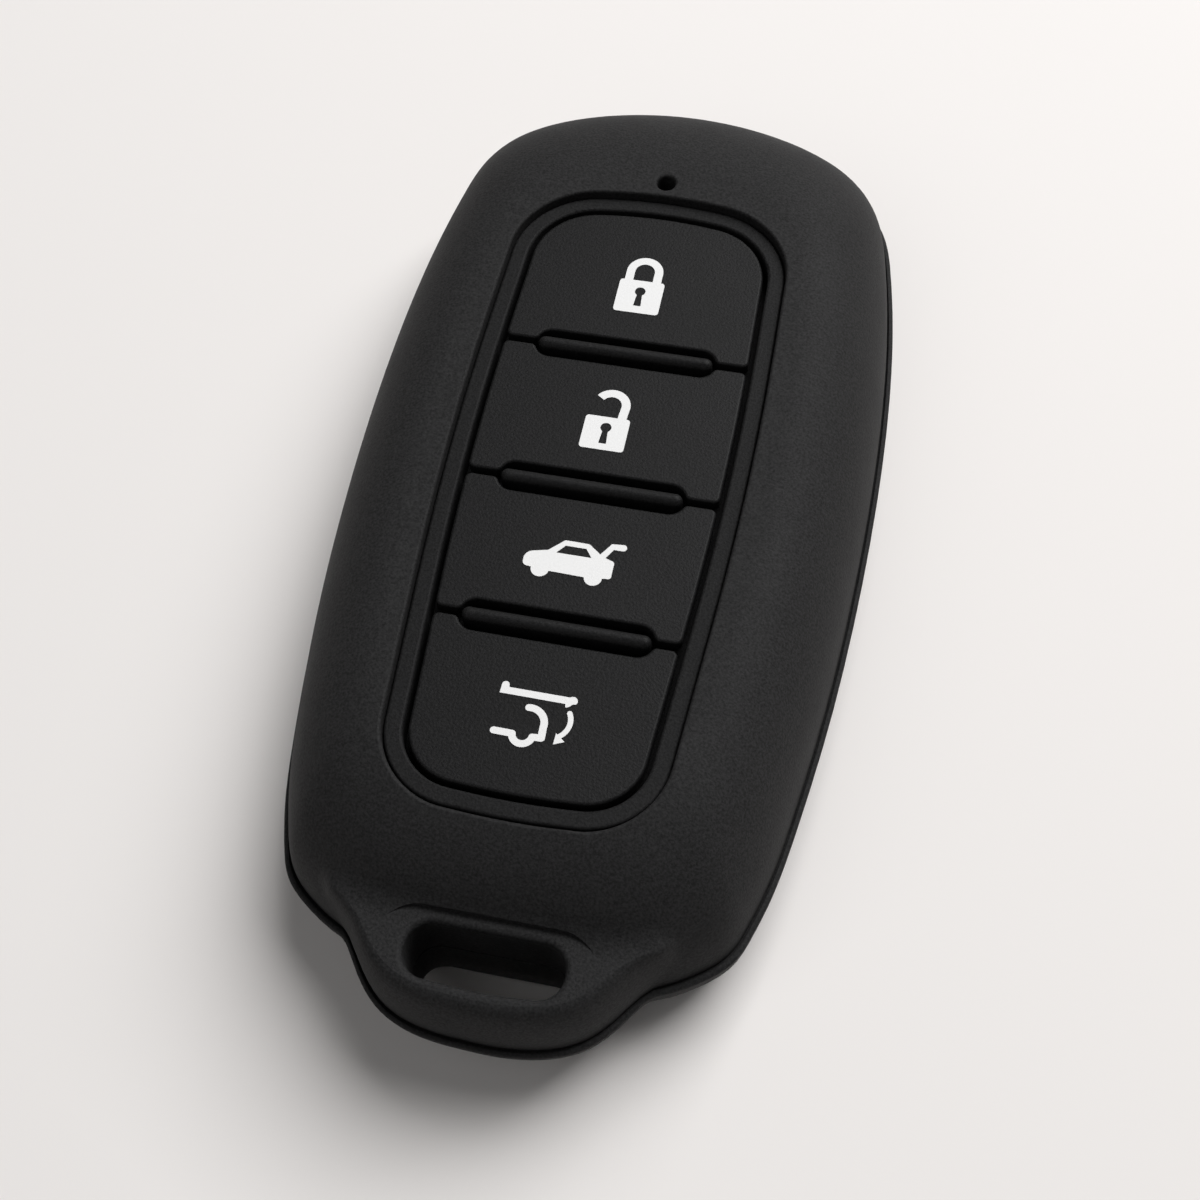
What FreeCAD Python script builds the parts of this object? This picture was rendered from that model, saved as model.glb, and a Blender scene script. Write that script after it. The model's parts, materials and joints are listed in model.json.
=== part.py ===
import FreeCAD, Part
import math
import os

# A soft cover for a car key fob, in millimetres.
# X runs across, Y towards the indicator end, Z up from the face that the cover rests on.
# The origin lies on that face, under the middle of the cover.

V = FreeCAD.Vector

# Overall sizes, taken over the rim of the back shell
cover_length = 94.8
cover_width = 47.4
cover_height = 17.75

# Shells, with the level where they meet as a share of the cover's height
rim_proud = 0.6
rim_gap = 0.2
rim_rise = 0.45
rim_round = 0.3
wall = 1.9
floor = 1.8
back_share = 0.3566
seam_gap = 0.25
side_run = 8.1
head_run = 13.4
tail_run = 13.4
back_run = 3.6
tongue_wall = 0.8
tongue_height = 1.3
tongue_clearance = 0.12

# Lug and lanyard slot, with heights and the lug's width as shares of the cover's
lug_reach = 5.7
lug_root = 10.15
lug_half_share = 0.6277
lug_top_share = 0.6986
lug_bottom_share = 0.1183
lug_run = 1.8
neck_round = 3.0
back_neck_round = 3.0
slot_half_share = 0.4276
slot_width = 4.6
slot_wall = 2.4
slot_corner = 2.0
slot_bow = 0.5
slot_bow_share = 0.5202
slot_round = 0.5
landing_half_width = 6.6
landing_corner = 3.5
landing_flare = 6.6
landing_fall = 5.4
landing_gap = 1.1

# Indicator sight hole, placed from the head
sight_hole = 1.7
sight_gap = 15.6
sight_round = 0.3

# Keypad: the outline that the four key faces have in common, placed from the body's head and tail
panel_head_gap = 18.96
panel_head_corner_gap = 20.31
panel_head_half = 10.4
panel_head_round = 5.8
panel_head_bow = 39.0
panel_waist_share = 0.5245
panel_waist_half = 11.1
panel_side_sag = 1.41
panel_tail_gap = 10.57
panel_tail_corner_gap = 11.12
panel_tail_half = 9.1
panel_tail_round = 4.6
panel_tail_bow = 60.0

# Keys, ribs, frame, mat and skirts
face_drop = 0.78
key_thickness = 1.1
key_travel = 0.6
key_edge_round = 0.25
key_corner_spare = 0.05
slit = 0.6
rib_length = 15.5
rib_width = 1.25
rib_round = 0.6
rib_rise = 0.35
rib_gap = 0.775
rib_end_gap = 0.25
groove = 0.45
band = 1.49
band_round = 0.25
lip_round = 0.25
window_clearance = 0.1
flange = 1.2
flange_clearance = 0.15
seat_depth = 0.25
skirt_give_share = 0.5
skirt_wall = 0.6
skirt_inset = 0.6
mat_thickness = 0.7
pusher_length = 6.0
pusher_width = 4.0
pusher_round = 1.0
pusher_below = 0.3
pusher_clearance = 0.4

# White figures let into the key faces
icon_depth = 0.4
icon_rise = 0.06
lock_drop = 0.38
unlock_drop = 0.18
trunk_drop = 0.42
hatch_drop = 0.72
lock_width = 4.05
lock_height = 3.65
lock_leg = 1.02
lock_round = 0.3
unlock_width = 3.85
unlock_height = 3.38
unlock_leg = 1.23
unlock_lean = 0.17
unlock_swing = 147.0
shackle_width = 3.3
shackle_bar = 0.76
keyhole_eye = 0.95
keyhole_drop = 1.65
keyhole_neck = 0.42
keyhole_foot = 0.68
keyhole_rise = 0.6
car_length = 8.12
hatch_length = 6.2
hatch_line = 0.58
hatch_arrow = 0.42

# One overrun for all cuts, and the gaps under which two points are one
overrun = 1.0
touch = 1e-6
flat_gap = 1e-3
upright_share = 0.9
body_steps = 8
lug_steps = 5

# Slits between the keys, from the head, as shares of the keypad's length
slit_shares = (0.7259, 0.4829, 0.2520)

# Body outline from the tail round the right-hand side to the head, as shares of half width and length
body_shares = (
    (0.000, -1.000), (0.247, -0.998), (0.416, -0.990), (0.564, -0.966), (0.679, -0.928),
    (0.768, -0.880), (0.813, -0.822), (0.853, -0.745), (0.899, -0.604), (0.950, -0.381),
    (0.986, -0.112), (1.000, 0.151), (0.987, 0.401), (0.949, 0.600), (0.915, 0.707),
    (0.865, 0.802), (0.767, 0.876), (0.591, 0.937), (0.327, 0.982), (0.000, 1.000),
)

# Lug outline from the tip round the right-hand side to the root, which lies inside the body
lug_shares = (
    (0.000, -1.000), (0.303, -0.958), (0.548, -0.786), (0.715, -0.471), (0.803, -0.251),
    (0.908, -0.070), (0.984, 0.062), (1.000, 0.311), (0.850, 0.705), (0.500, 0.941), (0.000, 1.000),
)

# Side view of a car with its boot lid up, nose to the left, as shares of its length
car_shares = (
    (-0.489, -0.086), (-0.475, -0.012, -0.425, 0.027), (-0.265, 0.065), (-0.138, 0.187),
    (-0.123, 0.201, -0.101, 0.206), (0.113, 0.203), (0.138, 0.197, 0.163, 0.179), (0.261, 0.106),
    (0.342, 0.227), (0.353, 0.243, 0.372, 0.246), (0.478, 0.256), (0.511, 0.219, 0.483, 0.182),
    (0.384, 0.182), (0.320, 0.074), (0.384, 0.052), (0.414, 0.034, 0.419, 0.000), (0.419, -0.117),
    (0.411, -0.150, 0.382, -0.160), (0.333, -0.164), (0.244, -0.262, 0.153, -0.181), (-0.209, -0.172),
    (-0.304, -0.252, -0.394, -0.155), (-0.437, -0.150), (-0.475, -0.135, -0.489, -0.086),
)
car_window_shares = (
    (-0.181, 0.049), (-0.101, 0.145), (0.111, 0.144), (0.182, 0.049), (-0.181, 0.049),
)

# Rear of a car with its hatch: lid, body line with wheel arch, and swing arrow, as shares of its length
hatch_lid_shares = (
    (-0.489, 0.263), (-0.485, 0.387), (-0.439, 0.432, -0.390, 0.387), (-0.384, 0.358), (0.395, 0.355),
    (0.423, 0.368), (0.500, 0.335, 0.492, 0.274), (0.444, 0.263), (0.406, 0.223, 0.368, 0.210),
    (0.358, 0.258), (-0.489, 0.263),
)
hatch_body_shares = (
    (-0.442, -0.255), (-0.206, -0.258), (-0.073, -0.374, 0.052, -0.261), (0.165, -0.255),
    (0.158, -0.113), (0.100, 0.065, -0.077, 0.126),
)
hatch_arrow_shares = (
    (0.442, 0.139), (0.476, -0.008, 0.387, -0.185),
)
hatch_head_shares = (
    (0.332, -0.153), (0.327, -0.310), (0.461, -0.252), (0.332, -0.153),
)

key_names = ("lock", "unlock", "trunk", "hatch")
rib_names = ("upper_rib", "middle_rib", "lower_rib")

# Places worked out from the sizes
half_width = cover_width / 2 - rim_proud
head_y = cover_length / 2 - rim_proud
tail_y = lug_reach - head_y
back_height = back_share * cover_height
front_z = back_height + seam_gap
rim_z = back_height + rim_rise
crest_z = rim_z + rim_round
lug_half_width = lug_half_share * half_width
slot_half_length = slot_half_share * lug_half_width
slot_bow_round = slot_bow_share * slot_half_length ** 2 / slot_bow
lug_top_z = lug_top_share * cover_height
lug_bottom_z = lug_bottom_share * cover_height
ceiling_z = cover_height - wall
seat_z = ceiling_z + seat_depth
face_z = cover_height - face_drop
key_bottom_z = face_z - key_thickness
skirt_height = key_travel / skirt_give_share
mat_top_z = key_bottom_z - skirt_height
mat_bottom_z = mat_top_z - mat_thickness
pusher_z = mat_bottom_z - pusher_below
icon_z = face_z - icon_depth
tongue_z = back_height + tongue_height
slot_near_y = slot_wall - head_y
slot_far_y = slot_near_y + slot_width
landing_y = slot_far_y + landing_gap
cavity_tail = -(slot_far_y + wall)
cavity_step = -tail_y - wall - cavity_tail
flange_grow = groove + band + flange
sight_y = head_y - sight_gap
panel_head_y = head_y - panel_head_gap
panel_head_corner_y = head_y - panel_head_corner_gap
panel_tail_y = tail_y + panel_tail_gap
panel_tail_corner_y = tail_y + panel_tail_corner_gap
panel_length = panel_head_y - panel_tail_y
panel_waist_y = panel_tail_y + panel_waist_share * panel_length
panel_waist_bow = panel_length ** 2 / (8 * panel_side_sag)
key_corner_round = 2 * key_edge_round + key_corner_spare
pocket_width = rib_width + 2 * rib_gap
slit_ys = [panel_tail_y + share * panel_length for share in slit_shares]


def mirrored(shares):
    """The right-hand shares of an outline, followed by their mirror images back to the start."""
    left = [(-x_share, y_share) for x_share, y_share in reversed(shares[1:-1])]
    return list(shares) + left


def plan(shares, half, head, tail, centre):
    """A smooth outline: its shares, half width, reach to the head and to the tail, and centre along Y."""
    widest = shares.index(max(shares))
    last = len(shares) - 1
    return {"shares": mirrored(shares), "half": half, "head": head, "tail": tail, "centre": centre,
            "quarters": (0, widest, last, 2 * last - widest, 2 * last)}


def plan_points(outline, z, drawn):
    """The outline's points at height z, drawn in at the sides, the head and the tail."""
    side, head, tail = drawn
    points = []
    for x_share, y_share in outline["shares"]:
        reach = outline["head"] - head if y_share > 0 else outline["tail"] - tail
        points.append(V(x_share * (outline["half"] - side), outline["centre"] + y_share * reach, z))
    return points


def plan_wire(outline, z, drawn=(0, 0, 0)):
    """The outline as one closed curve in four quarters, spaced along it as the full outline is."""
    full = plan_points(outline, z, (0, 0, 0))
    spacing = [0]
    for point, following in zip(full, full[1:] + full[:1]):
        spacing.append(spacing[-1] + point.distanceToPoint(following))
    curve = Part.BSplineCurve()
    curve.interpolate(Points=plan_points(outline, z, drawn), PeriodicFlag=True, Parameters=spacing)
    ends = [spacing[index] for index in outline["quarters"]]
    return Part.Wire([curve.toShape(first, last) for first, last in zip(ends, ends[1:])])


def prism(wire, height):
    """A straight-sided solid on a closed outline."""
    return Part.Face(wire).extrude(V(0, 0, height))


def dome(outline, z, rise, runs, steps=body_steps):
    """A solid whose wall leaves height z upright and rounds over to a flat face, up or down by rise."""
    wires = []
    for step in range(steps + 1):
        angle = math.pi / 2 * step / steps
        drawn = [run * (1 - math.cos(angle)) for run in runs]
        wires.append(plan_wire(outline, z + rise * math.sin(angle), drawn))
    return Part.makeLoft(wires if rise > 0 else wires[::-1], True)


def rounded_wire(corners, z, grow=0):
    """A closed outline through corners (x, y, radius), anticlockwise, with its sides moved out by grow."""
    count = len(corners)
    sides = []
    for index, (x, y, radius) in enumerate(corners):
        next_x, next_y, next_radius = corners[(index + 1) % count]
        along = V(next_x - x, next_y - y, 0).normalize()
        sides.append((V(x, y, z) + V(along.y, -along.x, 0) * grow, along))
    arcs = []
    for index in range(count):
        start, before = sides[index - 1]
        point, after = sides[index]
        gap = point - start
        sine = before.x * after.y - before.y * after.x
        corner = start + before * ((gap.x * after.y - gap.y * after.x) / sine)
        radius = corners[index][2] + grow
        half_turn = before.getAngle(after) / 2
        reach = radius * math.tan(half_turn)
        inward = (after - before).normalize()
        middle = corner + inward * (radius / math.cos(half_turn) - radius)
        arcs.append((corner - before * reach, middle, corner + after * reach))
    edges = []
    for index, (first, middle, last) in enumerate(arcs):
        edges.append(Part.Arc(first, middle, last).toShape())
        following = arcs[(index + 1) % count][0]
        if not last.isEqual(following, touch):
            edges.append(Part.makeLine(last, following))
    return Part.Wire(edges)


def rectangle(x, y, length, width, radius):
    """Corners of a rounded rectangle about (x, y), length along X."""
    right = x + length / 2
    left = x - length / 2
    far = y + width / 2
    near = y - width / 2
    return [(left, near, radius), (right, near, radius), (right, far, radius), (left, far, radius)]


def block(near_y, far_y, low_z, high_z):
    """A box over the whole width of the cover."""
    corner = V(-cover_width, near_y, low_z)
    return Part.makeBox(2 * cover_width, far_y - near_y, high_z - low_z, corner)


def rim_edges(shape, tool, low_z):
    """Edges above low_z that a cutting tool's skin left on a solid, without the upright ones."""
    found = []
    for edge in shape.Edges:
        parameter = (edge.FirstParameter + edge.LastParameter) / 2
        middle = edge.valueAt(parameter)
        upright = abs(edge.tangentAt(parameter).z) > upright_share
        if middle.z > low_z and not upright:
            if Part.Vertex(middle).distToShape(tool.Shells[0])[0] < flat_gap:
                found.append(edge)
    return found


def shared_edges(shape, first, second, level_z):
    """Edges where the skins of two joined solids meet, without those at the level where they end."""
    found = []
    for edge in shape.Edges:
        middle = edge.valueAt((edge.FirstParameter + edge.LastParameter) / 2)
        spot = Part.Vertex(middle)
        apart = max(spot.distToShape(solid.Shells[0])[0] for solid in (first, second))
        if abs(middle.z - level_z) > flat_gap and apart < flat_gap:
            found.append(edge)
    return found


def flat_edges(shape, z):
    """Edges of a solid that lie flat at height z."""
    return [edge for edge in shape.Edges
            if abs(edge.BoundBox.ZMin - z) < flat_gap and abs(edge.BoundBox.ZMax - z) < flat_gap]


def panel_wire(z, grow=0):
    """The outline that the key faces share, with its sides moved out by grow."""
    right = [(panel_tail_half, panel_tail_corner_y, panel_tail_round),
             (panel_waist_half, panel_waist_y, panel_waist_bow),
             (panel_head_half, panel_head_corner_y, panel_head_round)]
    left = [(-x, y, radius) for x, y, radius in reversed(right)]
    tail = [(0, panel_tail_y, panel_tail_bow)]
    head = [(0, panel_head_y, panel_head_bow)]
    return rounded_wire(tail + right + head + left, z, grow)


def panel_prism(low_z, high_z, grow=0):
    """A solid on the keypad's outline."""
    return prism(panel_wire(low_z, grow), high_z - low_z)


def rectangle_prism(x, y, length, width, radius, low_z, high_z):
    """A solid on a rounded rectangle, length along X."""
    return prism(rounded_wire(rectangle(x, y, length, width, radius), low_z), high_z - low_z)


def body_plan(proud=0):
    """Outline of the cover's body, without the lug."""
    return plan(body_shares, half_width + proud, head_y + proud, proud - tail_y, 0)


def lug_plan(proud=0):
    """Outline of the lug, whose root lies inside the body."""
    half_length = (lug_reach + lug_root) / 2
    return plan(lug_shares, lug_half_width + proud, half_length, half_length + proud, half_length - head_y)


def cavity_plan(proud=0):
    """Outline of the room for the fob."""
    return plan(body_shares, half_width - wall + proud, head_y - wall + proud, cavity_tail + proud, 0)


def cavity_runs(side, head, tail, skin):
    """How far the cavity's wall rounds in, so that its flat lies under the outer flat."""
    return (side - skin, head - skin, tail - skin - cavity_step)


def slot_prism():
    """The lanyard slot, straight through both shells, with its near side bowed."""
    right = [(slot_half_length, slot_near_y + slot_bow, slot_corner),
             (slot_half_length, slot_far_y, slot_corner)]
    left = [(-x, y, radius) for x, y, radius in reversed(right)]
    near = [(0, slot_near_y, slot_bow_round)]
    return prism(rounded_wire(near + right + left, 0), cover_height)


def landing_cut():
    """What is taken off the body's end to leave the flat landing round the slot."""
    far = landing_half_width + landing_flare
    right = [(far, -cover_length, landing_corner), (far, landing_y - landing_fall, landing_corner),
             (landing_half_width, landing_y, landing_corner)]
    left = [(-x, y, radius) for x, y, radius in reversed(right)]
    return prism(rounded_wire(right + left, lug_top_z), cover_height)


def front_shell():
    """The upper half: crowned body and lug, hollow, with the keypad window, sight hole and slot."""
    rise = cover_height - front_z
    body = dome(body_plan(), back_height, cover_height - back_height, (side_run, head_run, tail_run))
    lug = dome(lug_plan(), back_height, lug_top_z - back_height, (lug_run, lug_run, lug_run), lug_steps)
    room = dome(cavity_plan(), front_z, rise - wall, cavity_runs(side_run, head_run, tail_run, wall))
    groove_plan = cavity_plan(tongue_wall + tongue_clearance)
    tongue_groove = prism(plan_wire(groove_plan, back_height), tongue_height)
    seat = panel_prism(mat_bottom_z, seat_z, flange_grow + flange_clearance)
    window = panel_prism(mat_bottom_z, cover_height + overrun, groove + band + window_clearance)
    sight = Part.makeCylinder(sight_hole / 2, cover_height, V(0, sight_y, front_z))
    shell = body.fuse(lug).cut(block(-cover_length, cover_length, 0, front_z))
    shell = shell.makeFillet(neck_round, shared_edges(shell, body, lug, front_z))
    slot = slot_prism()
    for cut in (landing_cut(), room, tongue_groove, seat, window, sight, slot):
        shell = shell.cut(cut)
    shell = shell.makeFillet(lip_round, rim_edges(shell, window, seat_z + flat_gap))
    shell = shell.makeFillet(sight_round, rim_edges(shell, sight, seat_z))
    return shell.makeFillet(slot_round, rim_edges(shell, slot, lug_top_z - wall))


def back_shell():
    """The lower half: a tray with a lip round the front shell's edge, and a tongue that it closes over."""
    runs = (back_run, back_run, back_run)
    outer = dome(body_plan(rim_proud), crest_z, -crest_z, runs)
    lug = dome(lug_plan(rim_proud), crest_z, lug_bottom_z - crest_z, runs)
    well = prism(plan_wire(body_plan(rim_gap), back_height), cover_height)
    well = well.fuse(prism(plan_wire(lug_plan(rim_gap), back_height), cover_height))
    tongue = prism(plan_wire(cavity_plan(tongue_wall), floor + wall), tongue_z - floor - wall)
    room = dome(cavity_plan(), back_height, floor - back_height, cavity_runs(*runs, wall))
    mouth = prism(plan_wire(cavity_plan(), back_height), tongue_z)
    shell = outer.fuse(lug).cut(block(-cover_length, cover_length, rim_z, cover_height))
    shell = shell.makeFillet(back_neck_round, shared_edges(shell, outer, lug, rim_z))
    shell = shell.makeFillet(rim_round, flat_edges(shell, rim_z))
    shell = shell.cut(well).fuse(tongue)
    for cut in (room, mouth, slot_prism()):
        shell = shell.cut(cut)
    return shell


def keypad_frame():
    """The sunk band round the keys, held behind the window by its flange."""
    ring = panel_prism(mat_top_z, face_z, groove + band)
    ring = ring.fuse(panel_prism(mat_top_z, seat_z, flange_grow))
    ring = ring.cut(panel_prism(mat_top_z, face_z, groove)).removeSplitter()
    return ring.makeFillet(band_round, flat_edges(ring, face_z))


def pusher(y, low_z, high_z, grow=0):
    """The post under a key, or the hole that it passes through."""
    length = pusher_length + 2 * grow
    width = pusher_width + 2 * grow
    return rectangle_prism(0, y, length, width, pusher_round + grow, low_z, high_z)


def key_band(index):
    """Near and far Y of a key's place, from the middle of one slit to the middle of the next."""
    far = slit_ys[index - 1] if index else panel_head_y + overrun
    near = slit_ys[index] if index < len(slit_ys) else panel_tail_y - overrun
    return near, far


def key_middle(index):
    """Y of the middle of a key's face."""
    near, far = key_band(index)
    return (max(near, panel_tail_y) + min(far, panel_head_y)) / 2


def key_slice(index, low_z, high_z, inset, margin):
    """A slice of the keypad's outline for one key, drawn in by inset, and by margin from the slits."""
    near, far = key_band(index)
    return panel_prism(low_z, high_z, -inset).common(block(near + margin, far - margin, low_z, high_z))


def key(index, icon):
    """A key: its face with rounded edges, pockets for the ribs beside it, and the pusher below."""
    blank = key_slice(index, key_bottom_z, face_z, 0, slit / 2)
    for y in slit_ys:
        pocket = rectangle_prism(0, y, rib_length + 2 * rib_end_gap, pocket_width, pocket_width / 2,
                                 key_bottom_z, face_z)
        blank = blank.cut(pocket)
    face = [side for side in blank.Faces if abs(side.CenterOfMass.z - key_bottom_z) < flat_gap][0]
    soft = face.makeOffset2D(-key_corner_round).makeOffset2D(key_corner_round)
    solid = soft.extrude(V(0, 0, key_thickness))
    solid = solid.makeFillet(key_edge_round, flat_edges(solid, face_z))
    solid = solid.fuse(pusher(key_middle(index), pusher_z, key_bottom_z)).removeSplitter()
    return solid.cut(icon)


def skirt(index):
    """The elastic wall between the mat and a key."""
    margin = pocket_width / 2 + skirt_inset
    outer = key_slice(index, mat_top_z, key_bottom_z, skirt_inset, margin)
    inner = key_slice(index, mat_top_z, key_bottom_z, skirt_inset + skirt_wall, margin + skirt_wall)
    return outer.cut(inner)


def rib(y):
    """A finger bar between two keys, standing on the mat."""
    solid = rectangle_prism(0, y, rib_length, rib_width, rib_width / 2, mat_top_z, face_z + rib_rise)
    return solid.makeFillet(rib_round, flat_edges(solid, face_z + rib_rise))


def keypad_mat():
    """The sheet behind the keys, with a hole for each pusher."""
    sheet = panel_prism(mat_bottom_z, mat_top_z, flange_grow)
    for index in range(len(key_names)):
        sheet = sheet.cut(pusher(key_middle(index), mat_bottom_z, mat_top_z, pusher_clearance))
    return sheet


def traced(shares, size, x, y):
    """A line through share points about (x, y): two numbers go straight, four go round an arc."""
    def place(x_share, y_share):
        return V(x + x_share * size, y + y_share * size, icon_z)
    edges = []
    start = place(*shares[0])
    for step in shares[1:]:
        end = place(*step[-2:])
        if len(step) == 2:
            edges.append(Part.makeLine(start, end))
        else:
            edges.append(Part.Arc(start, place(*step[:2]), end).toShape())
        start = end
    return Part.Wire(edges)


def raised(face):
    """A figure's solid, from the floor of its recess to just above the key's face."""
    return face.extrude(V(0, 0, icon_depth + icon_rise))


def figure(shares, size, y):
    """A figure's solid from a closed line."""
    return raised(Part.Face(traced(shares, size, 0, y)))


def stroke(shares, size, y, width):
    """A figure's solid from an open line of even width with round ends."""
    return raised(traced(shares, size, 0, y).makeOffset2D(width / 2, fill=True))


def ribbon(line, width):
    """A figure's solid from an open line of even width with square ends."""
    left = line.makeOffset2D(width / 2, fill=True, openResult=True)
    right = line.makeOffset2D(-width / 2, fill=True, openResult=True)
    return raised(left).fuse(raised(right))


def keyhole(y):
    """The hole in a padlock's body: an eye and a slot that widens downwards."""
    eye = Part.makeCylinder(keyhole_eye / 2, icon_depth + icon_rise, V(0, y, icon_z))
    foot_y = y - keyhole_drop
    slot_points = [V(-keyhole_foot / 2, foot_y, icon_z), V(keyhole_foot / 2, foot_y, icon_z),
                   V(keyhole_neck / 2, y, icon_z), V(-keyhole_neck / 2, y, icon_z)]
    slot = raised(Part.Face(Part.makePolygon(slot_points + slot_points[:1])))
    return eye.fuse(slot)


def shackle(top_y, leg, lean, swing):
    """A padlock's shackle: a leg that leans in at the foot, and a bow that swings on from its top."""
    radius = (shackle_width - shackle_bar) / 2
    foot_y = top_y - shackle_bar
    bow_y = top_y + leg
    tip = V(radius * math.cos(swing), bow_y + radius * math.sin(swing), icon_z)
    crown = V(radius * math.cos(swing / 2), bow_y + radius * math.sin(swing / 2), icon_z)
    edges = [Part.makeLine(V(radius - lean, foot_y, icon_z), V(radius, bow_y, icon_z)),
             Part.Arc(V(radius, bow_y, icon_z), crown, tip).toShape()]
    if swing == math.pi:
        edges.append(Part.makeLine(tip, V(-radius, foot_y, icon_z)))
    return ribbon(Part.Wire(edges), shackle_bar)


def padlock(y, width, height, leg, lean, swing):
    """A padlock about y: a body with a keyhole, and its shackle."""
    near_y = y - (height + leg + shackle_width / 2) / 2
    body_y = near_y + height / 2
    solid = rectangle_prism(0, body_y, width, height, lock_round, icon_z, face_z + icon_rise)
    solid = solid.fuse(shackle(near_y + height, leg, lean, swing))
    return solid.cut(keyhole(body_y + keyhole_rise)).removeSplitter()


def icons():
    """The four figures, in the order of the keys."""
    drops = (lock_drop, unlock_drop, trunk_drop, hatch_drop)
    lock_y, unlock_y, trunk_y, hatch_y = [key_middle(index) - drop for index, drop in enumerate(drops)]
    car = figure(car_shares, car_length, trunk_y).cut(figure(car_window_shares, car_length, trunk_y))
    lid = figure(hatch_lid_shares, hatch_length, hatch_y)
    body_line = stroke(hatch_body_shares, hatch_length, hatch_y, hatch_line)
    arrow = stroke(hatch_arrow_shares, hatch_length, hatch_y, hatch_arrow)
    arrow = arrow.fuse(figure(hatch_head_shares, hatch_length, hatch_y)).removeSplitter()
    return [padlock(lock_y, lock_width, lock_height, lock_leg, 0, math.pi),
            padlock(unlock_y, unlock_width, unlock_height, unlock_leg, unlock_lean,
                    math.radians(unlock_swing)),
            car, Part.makeCompound([lid, body_line, arrow])]


def build():
    """Every piece of the cover under its name."""
    pieces = {"front_shell": front_shell(), "back_shell": back_shell(),
              "keypad_frame": keypad_frame(), "keypad_mat": keypad_mat()}
    for index, (name, icon) in enumerate(zip(key_names, icons())):
        pieces[name + "_icon"] = icon
        pieces[name + "_key"] = key(index, icon)
        pieces[name + "_skirt"] = skirt(index)
    for name, y in zip(rib_names, slit_ys):
        pieces[name] = rib(y)
    return pieces


os.makedirs("parts", exist_ok=True)
for name, shape in build().items():
    shape.exportStep("parts/" + name + ".step")
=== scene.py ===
import json
import math

import bpy
from bpy.props import FloatProperty, FloatVectorProperty, PointerProperty
from bpy.types import Operator, Panel, PropertyGroup
from mathutils import Matrix, Vector

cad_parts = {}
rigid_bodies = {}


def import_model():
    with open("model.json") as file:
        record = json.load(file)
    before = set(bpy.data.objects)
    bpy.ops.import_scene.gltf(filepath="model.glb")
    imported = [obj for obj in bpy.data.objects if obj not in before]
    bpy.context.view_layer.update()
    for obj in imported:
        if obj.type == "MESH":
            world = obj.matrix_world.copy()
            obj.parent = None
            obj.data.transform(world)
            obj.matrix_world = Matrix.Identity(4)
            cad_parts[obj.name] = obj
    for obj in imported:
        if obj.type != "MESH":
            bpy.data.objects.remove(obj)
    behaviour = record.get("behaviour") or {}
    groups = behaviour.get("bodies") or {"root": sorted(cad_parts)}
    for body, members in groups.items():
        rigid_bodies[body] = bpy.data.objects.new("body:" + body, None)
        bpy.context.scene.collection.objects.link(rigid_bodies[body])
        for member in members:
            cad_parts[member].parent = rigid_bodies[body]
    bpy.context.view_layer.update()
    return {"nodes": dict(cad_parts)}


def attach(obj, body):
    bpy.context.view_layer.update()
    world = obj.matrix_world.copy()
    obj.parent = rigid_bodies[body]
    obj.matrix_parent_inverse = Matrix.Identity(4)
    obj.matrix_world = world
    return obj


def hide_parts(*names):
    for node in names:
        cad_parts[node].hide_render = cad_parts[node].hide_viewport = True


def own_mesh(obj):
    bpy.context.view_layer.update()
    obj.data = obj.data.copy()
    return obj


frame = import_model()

bl_info = {
    "name": "Key Fob Cover",
    "version": (1, 0, 0),
    "blender": (4, 5, 0),
    "location": "3D View > Sidebar > Cover",
    "description": "Dresses the two shells, the keypad and the keys of a soft key fob cover",
    "category": "Object",
}

NODES = frame["nodes"]
KEYS = ("lock", "unlock", "trunk", "hatch")
RIBS = ("upper_rib", "middle_rib", "lower_rib")

MILLIMETRE = 0.001
MERGE_DISTANCE = 0.002 * MILLIMETRE

# The film's width in millimetres, as Blender's camera takes it
FILM_WIDTH = 36

# Fine noise of the moulded grain, and the part of its range that the speckle uses
FINE_DETAIL = 2.0
FINE_ROUGHNESS = 0.6
FINE_RANGE = (0.3, 0.7)

# Broad noise that varies the roughness, with its scale per metre
CLOUD_SCALE = 140.0
CLOUD_DETAIL = 3.0

# The table's width, and the distances from the cover between which it goes over to the backdrop's tone
TABLE_WIDTH = 6
TABLE_FADE = (0.12, 0.50)

# Heights of a sight line, as the sine of its angle, between which the horizon takes the backdrop's tone
HORIZON_FADE = (0.45, 0.20)


def length(name, description, default):
    """A size in metres that the sidebar shows as a length."""
    return FloatProperty(name=name, description=description, default=default, unit="LENGTH", precision=5)


def colour(name, description, default):
    """A colour that the sidebar shows as a swatch."""
    return FloatVectorProperty(name=name, description=description, default=default, subtype="COLOR",
                               size=3, min=0, max=1)


class CoverSizes(PropertyGroup):
    grain: length("Grain", "Size of the fine grain on the moulded faces", 0.21 * MILLIMETRE)
    grain_depth: length("Grain depth", "How deep the fine grain goes", 0.030 * MILLIMETRE)
    camera_place: FloatVectorProperty(
        name="Camera place", description="Where the camera stands", subtype="TRANSLATION", unit="LENGTH",
        size=3, default=(0.021074, -0.074629, 0.131910))
    camera_target: FloatVectorProperty(
        name="Camera target", description="The point in the middle of the view", subtype="TRANSLATION",
        unit="LENGTH", size=3, default=(0.002077, -0.009764, 0.011399))
    camera_roll: FloatProperty(
        name="Camera roll", description="How far the camera is turned about its line of sight",
        subtype="ANGLE", default=math.radians(-5.079))
    lens: FloatProperty(
        name="Lens", description="Focal length for a film 36 mm wide", subtype="DISTANCE_CAMERA",
        default=49.377)


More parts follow.
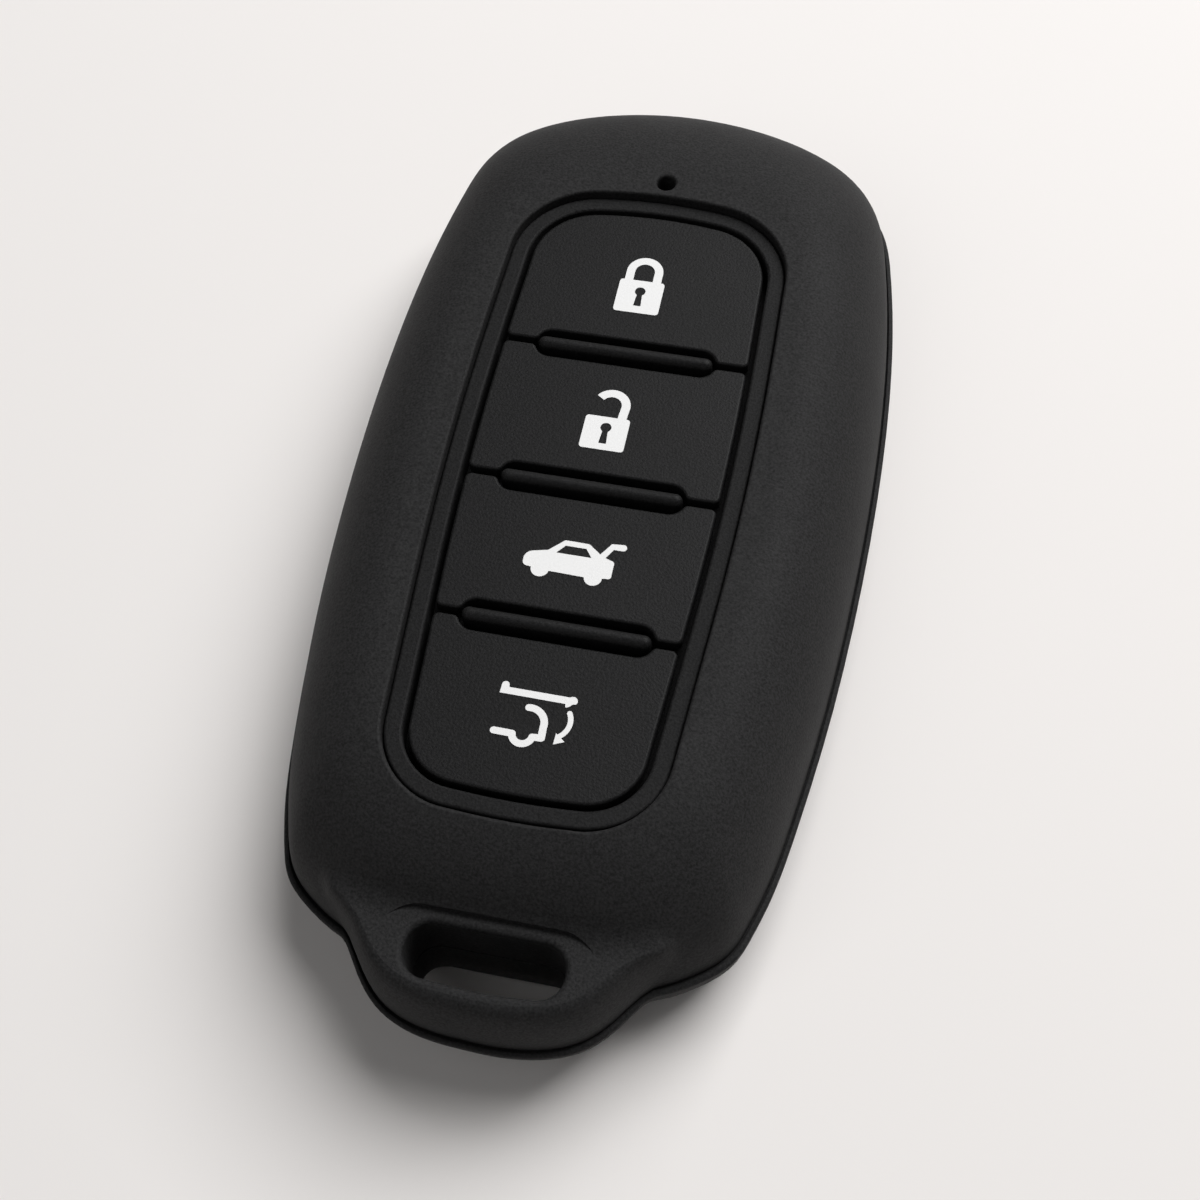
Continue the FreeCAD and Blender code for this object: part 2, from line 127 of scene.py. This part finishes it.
class CoverColours(PropertyGroup):
    shell: colour("Shells", "Soft black of the two shells", (0.0190, 0.0188, 0.0192))
    key: colour("Keys", "Black of the keys and ribs", (0.0085, 0.0084, 0.0087))
    frame: colour("Frame", "Black of the sunk band round the keys", (0.0110, 0.0109, 0.0112))
    keypad: colour("Keypad", "Black of the mat and skirts behind the keys", (0.0120, 0.0119, 0.0122))
    icon: colour("Figures", "White of the figures on the keys", (0.840, 0.838, 0.834))
    floor: colour("Floor", "Warm white of the table", (0.850, 0.821, 0.803))
    surround: colour("Surround", "Even light that comes from all round", (0.050, 0.050, 0.050))
    backdrop: colour("Backdrop", "Pale tone that the far table and the horizon show", (0.800, 0.774, 0.756))


def sizes():
    return bpy.context.scene.cover_sizes


def colours():
    return bpy.context.scene.cover_colours


def deselect():
    """Nothing is selected or active any more."""
    if bpy.context.object and bpy.context.object.mode != "OBJECT":
        bpy.ops.object.mode_set(mode="OBJECT")
    for item in bpy.context.view_layer.objects:
        item.select_set(False)
    bpy.context.view_layer.objects.active = None


def activate(piece):
    """Only this piece is selected and active."""
    deselect()
    piece.select_set(True)
    bpy.context.view_layer.objects.active = piece


def merged_copy(node, name):
    """A new piece from a CAD node's shape, with its loose triangles joined."""
    piece = bpy.data.objects.new(name, NODES[node].data.copy())
    bpy.context.scene.collection.objects.link(piece)
    activate(piece)
    bpy.ops.mesh.customdata_custom_splitnormals_clear()
    bpy.ops.object.mode_set(mode="EDIT")
    bpy.ops.mesh.select_all(action="SELECT")
    bpy.ops.mesh.remove_doubles(threshold=MERGE_DISTANCE)
    bpy.ops.object.mode_set(mode="OBJECT")
    return piece


def finish_piece(piece, material, body, node):
    """Gives a piece its material and body, and hides the CAD node that it stands for."""
    piece.data.materials.clear()
    piece.data.materials.append(material)
    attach(piece, body)
    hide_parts(node)


def dress_node(node, material):
    """A CAD node keeps its shape and gets a better material."""
    target = NODES[node]
    if not target.material_slots:
        raise RuntimeError(f"{node} has no material slot")
    for place in target.material_slots:
        place.link = "OBJECT"
        place.material = material


def new_material(name):
    """A material that holds only a shader joined to its output."""
    material = bpy.data.materials.new(name)
    material.use_nodes = True
    tree = material.node_tree
    tree.nodes.clear()
    output = tree.nodes.new("ShaderNodeOutputMaterial")
    shader = tree.nodes.new("ShaderNodeBsdfPrincipled")
    tree.links.new(shader.outputs["BSDF"], output.inputs["Surface"])
    return material, tree, shader


def grain_group():
    """Fine moulded grain: a speckled tint, a height for bump, and a roughness that varies a little."""
    group = bpy.data.node_groups.get("Moulded grain")
    if group:
        return group
    group = bpy.data.node_groups.new("Moulded grain", "ShaderNodeTree")
    face = group.interface
    face.new_socket(name="Tint", in_out="INPUT", socket_type="NodeSocketColor")
    for name in ("Scale", "Speckle", "Roughness low", "Roughness high"):
        face.new_socket(name=name, in_out="INPUT", socket_type="NodeSocketFloat")
    face.new_socket(name="Tint", in_out="OUTPUT", socket_type="NodeSocketColor")
    for name in ("Height", "Roughness"):
        face.new_socket(name=name, in_out="OUTPUT", socket_type="NodeSocketFloat")
    nodes, links = group.nodes, group.links
    given = nodes.new("NodeGroupInput")
    result = nodes.new("NodeGroupOutput")
    place = nodes.new("ShaderNodeTexCoord")
    fine = nodes.new("ShaderNodeTexNoise")
    fine.inputs["Detail"].default_value = FINE_DETAIL
    fine.inputs["Roughness"].default_value = FINE_ROUGHNESS
    cloud = nodes.new("ShaderNodeTexNoise")
    cloud.inputs["Scale"].default_value = CLOUD_SCALE
    cloud.inputs["Detail"].default_value = CLOUD_DETAIL
    spread = nodes.new("ShaderNodeMapRange")
    swing = nodes.new("ShaderNodeMapRange")
    swing.inputs["From Min"].default_value, swing.inputs["From Max"].default_value = FINE_RANGE
    swing.inputs["To Min"].default_value = -1.0
    # The tint is scaled by 1 plus the swing times the speckle
    factor = nodes.new("ShaderNodeMath")
    factor.operation = "MULTIPLY_ADD"
    factor.inputs[2].default_value = 1.0
    tint = nodes.new("ShaderNodeVectorMath")
    tint.operation = "SCALE"
    links.new(place.outputs["Object"], fine.inputs["Vector"])
    links.new(place.outputs["Object"], cloud.inputs["Vector"])
    links.new(given.outputs["Scale"], fine.inputs["Scale"])
    links.new(cloud.outputs["Fac"], spread.inputs["Value"])
    links.new(given.outputs["Roughness low"], spread.inputs["To Min"])
    links.new(given.outputs["Roughness high"], spread.inputs["To Max"])
    links.new(fine.outputs["Fac"], swing.inputs["Value"])
    links.new(swing.outputs["Result"], factor.inputs[0])
    links.new(given.outputs["Speckle"], factor.inputs[1])
    links.new(given.outputs["Tint"], tint.inputs[0])
    links.new(factor.outputs["Value"], tint.inputs["Scale"])
    links.new(tint.outputs["Vector"], result.inputs["Tint"])
    links.new(fine.outputs["Fac"], result.inputs["Height"])
    links.new(spread.outputs["Result"], result.inputs["Roughness"])
    return group


def moulded(name, tint, speckle, roughness, specular, relief=1.0):
    """A moulded rubber or plastic finish with fine grain, as deep as relief times the grain's depth."""
    made = bpy.data.materials.get(name)
    if made:
        return made
    material, tree, shader = new_material(name)
    shader.inputs["Specular IOR Level"].default_value = specular
    grain = tree.nodes.new("ShaderNodeGroup")
    grain.node_tree = grain_group()
    grain.inputs["Tint"].default_value = (*tint, 1)
    grain.inputs["Scale"].default_value = 1 / sizes().grain
    grain.inputs["Speckle"].default_value = speckle
    grain.inputs["Roughness low"].default_value, grain.inputs["Roughness high"].default_value = roughness
    bump = tree.nodes.new("ShaderNodeBump")
    bump.inputs["Strength"].default_value = 1.0
    bump.inputs["Distance"].default_value = sizes().grain_depth * relief
    tree.links.new(grain.outputs["Tint"], shader.inputs["Base Color"])
    tree.links.new(grain.outputs["Height"], bump.inputs["Height"])
    tree.links.new(grain.outputs["Roughness"], shader.inputs["Roughness"])
    tree.links.new(bump.outputs["Normal"], shader.inputs["Normal"])
    return material


def shell_rubber():
    return moulded("Soft black shell", colours().shell, speckle=0.45, roughness=(0.60, 0.70), specular=0.10)


def frame_rubber():
    return moulded("Black keypad band", colours().frame, speckle=0.45, roughness=(0.56, 0.66), specular=0.10)


def key_rubber():
    return moulded("Black key rubber", colours().key, speckle=0.45, roughness=(0.46, 0.56), specular=0.12)


def keypad_rubber():
    return moulded("Black mat rubber", colours().keypad, speckle=0.30, roughness=(0.62, 0.72), specular=0.05)


def icon_white():
    return moulded("White key figure", colours().icon, speckle=0.02, roughness=(0.42, 0.50), specular=0.20,
                   relief=0.25)


def seen_directly(tree):
    """1 for what the camera, a gloss or clear glass looks at, and 0 for light on its way to a surface."""
    path = tree.nodes.new("ShaderNodeLightPath")
    total = path.outputs["Is Camera Ray"]
    for name in ("Is Glossy Ray", "Is Transmission Ray"):
        larger = tree.nodes.new("ShaderNodeMath")
        larger.operation = "MAXIMUM"
        tree.links.new(total, larger.inputs[0])
        tree.links.new(path.outputs[name], larger.inputs[1])
        total = larger.outputs["Value"]
    return total


def faded(tree, source, span):
    """How far a value has gone from the start to the end of a span, for what is seen directly."""
    fade = tree.nodes.new("ShaderNodeMapRange")
    fade.interpolation_type = "SMOOTHSTEP"
    fade.inputs["From Min"].default_value, fade.inputs["From Max"].default_value = span
    both = tree.nodes.new("ShaderNodeMath")
    both.operation = "MULTIPLY"
    tree.links.new(source, fade.inputs["Value"])
    tree.links.new(fade.outputs["Result"], both.inputs[0])
    tree.links.new(seen_directly(tree), both.inputs[1])
    return both.outputs["Value"]


class COVER_OT_stage(Operator):
    """Sets up the table, the lights, the surrounding light and the camera"""
    bl_idname = "cover.stage"
    bl_label = "Set Up Stage"

    def execute(self, context):
        deselect()
        bpy.ops.mesh.primitive_plane_add(size=TABLE_WIDTH, location=(0, 0, 0))
        table = context.object
        table.name = "table"
        table.data.materials.append(self.table_finish())
        self.light(context, "key_light", place=(0.32, 0.56, 0.77), size=0.75, power=13.2)
        self.light(context, "fill_light", place=(-0.32, -0.50, 0.80), size=0.90, power=1.6)
        self.surround(context)
        self.camera(context)
        return {"FINISHED"}

    def table_finish(self):
        """A dull warm white that goes over to the backdrop's tone far from the cover."""
        material, tree, shader = new_material("Warm white table")
        shader.inputs["Base Color"].default_value = (*colours().floor, 1)
        shader.inputs["Roughness"].default_value = 0.8
        shader.inputs["Specular IOR Level"].default_value = 0.1
        place = tree.nodes.new("ShaderNodeTexCoord")
        reach = tree.nodes.new("ShaderNodeVectorMath")
        reach.operation = "LENGTH"
        glow = tree.nodes.new("ShaderNodeEmission")
        glow.inputs["Color"].default_value = (*colours().backdrop, 1)
        both = tree.nodes.new("ShaderNodeMixShader")
        output = tree.nodes["Material Output"]
        tree.links.new(place.outputs["Object"], reach.inputs[0])
        tree.links.new(faded(tree, reach.outputs["Value"], TABLE_FADE), both.inputs["Fac"])
        tree.links.new(shader.outputs["BSDF"], both.inputs[1])
        tree.links.new(glow.outputs["Emission"], both.inputs[2])
        tree.links.new(both.outputs["Shader"], output.inputs["Surface"])
        return material

    def light(self, context, name, place, size, power):
        """A square soft light that faces the cover."""
        lamp = bpy.data.lights.new(name, "AREA")
        lamp.shape = "SQUARE"
        lamp.size = size
        lamp.energy = power
        item = bpy.data.objects.new(name, lamp)
        aim = -Vector(place)
        item.matrix_world = Matrix.Translation(place) @ aim.to_track_quat("-Z", "Y").to_matrix().to_4x4()
        context.scene.collection.objects.link(item)

    def surround(self, context):
        """A little even light from all round, and the backdrop's tone where the horizon is seen."""
        world = bpy.data.worlds.new("Studio")
        context.scene.world = world
        world.use_nodes = True
        tree = world.node_tree
        tree.nodes.clear()
        output = tree.nodes.new("ShaderNodeOutputWorld")
        light = tree.nodes.new("ShaderNodeBackground")
        place = tree.nodes.new("ShaderNodeTexCoord")
        split = tree.nodes.new("ShaderNodeSeparateXYZ")
        tone = tree.nodes.new("ShaderNodeMix")
        tone.data_type = "RGBA"
        tone.inputs["A"].default_value = (*colours().surround, 1)
        tone.inputs["B"].default_value = (*colours().backdrop, 1)
        tree.links.new(place.outputs["Generated"], split.inputs["Vector"])
        tree.links.new(faded(tree, split.outputs["Z"], HORIZON_FADE), tone.inputs["Factor"])
        tree.links.new(tone.outputs["Result"], light.inputs["Color"])
        tree.links.new(light.outputs["Background"], output.inputs["Surface"])

    def camera(self, context):
        """The camera at the picture's viewing angle."""
        place = Vector(sizes().camera_place)
        back = (place - Vector(sizes().camera_target)).normalized()
        right = Vector((0, 0, 1)).cross(back).normalized()
        up = back.cross(right)
        roll = sizes().camera_roll
        across = right * math.cos(roll) + up * math.sin(roll)
        upward = up * math.cos(roll) - right * math.sin(roll)
        view = bpy.data.cameras.new("view")
        view.sensor_fit = "HORIZONTAL"
        view.sensor_width = FILM_WIDTH
        view.lens = sizes().lens
        view.clip_start = MILLIMETRE
        item = bpy.data.objects.new("view", view)
        item.matrix_world = Matrix.Translation(place) @ Matrix((across, upward, back)).transposed().to_4x4()
        context.scene.collection.objects.link(item)
        context.scene.camera = item
        context.scene.view_settings.view_transform = "Standard"


class COVER_OT_shells(Operator):
    """Dresses the front and back shells"""
    bl_idname = "cover.shells"
    bl_label = "Build Shells"

    def execute(self, context):
        for node in ("front_shell", "back_shell"):
            dress_node(node, shell_rubber())
        return {"FINISHED"}


class COVER_OT_keypad(Operator):
    """Dresses the band and the mat, and builds the elastic skirts under the keys"""
    bl_idname = "cover.keypad"
    bl_label = "Build Keypad"

    def execute(self, context):
        dress_node("keypad_frame", frame_rubber())
        dress_node("keypad_mat", keypad_rubber())
        for key in KEYS:
            node = key + "_skirt"
            skirt = merged_copy(node, key + "_elastic_skirt")
            finish_piece(skirt, keypad_rubber(), "front", node)
            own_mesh(skirt)
        return {"FINISHED"}


class COVER_OT_keys(Operator):
    """Dresses the keys, the ribs between them and the white figures"""
    bl_idname = "cover.keys"
    bl_label = "Build Keys"

    def execute(self, context):
        for key in KEYS:
            dress_node(key + "_key", key_rubber())
            dress_node(key + "_icon", icon_white())
        for rib in RIBS:
            dress_node(rib, key_rubber())
        return {"FINISHED"}


class COVER_PT_panel(Panel):
    """Lists the steps that build the cover"""
    bl_idname = "COVER_PT_panel"
    bl_label = "Key Fob Cover"
    bl_space_type = "VIEW_3D"
    bl_region_type = "UI"
    bl_category = "Cover"

    def draw(self, context):
        for step in STEPS:
            self.layout.operator(step.bl_idname)
        for group in (context.scene.cover_sizes, context.scene.cover_colours):
            box = self.layout.box()
            for name in group.__annotations__:
                box.prop(group, name)


STEPS = (COVER_OT_stage, COVER_OT_shells, COVER_OT_keypad, COVER_OT_keys)
CLASSES = (CoverSizes, CoverColours, *STEPS, COVER_PT_panel)


def register():
    for item in CLASSES:
        bpy.utils.register_class(item)
    bpy.types.Scene.cover_sizes = PointerProperty(type=CoverSizes)
    bpy.types.Scene.cover_colours = PointerProperty(type=CoverColours)


def unregister():
    del bpy.types.Scene.cover_colours
    del bpy.types.Scene.cover_sizes
    for item in reversed(CLASSES):
        bpy.utils.unregister_class(item)


def main():
    register()
    bpy.ops.cover.stage()
    bpy.ops.cover.shells()
    bpy.ops.cover.keypad()
    bpy.ops.cover.keys()


if __name__ == "__main__":
    main()
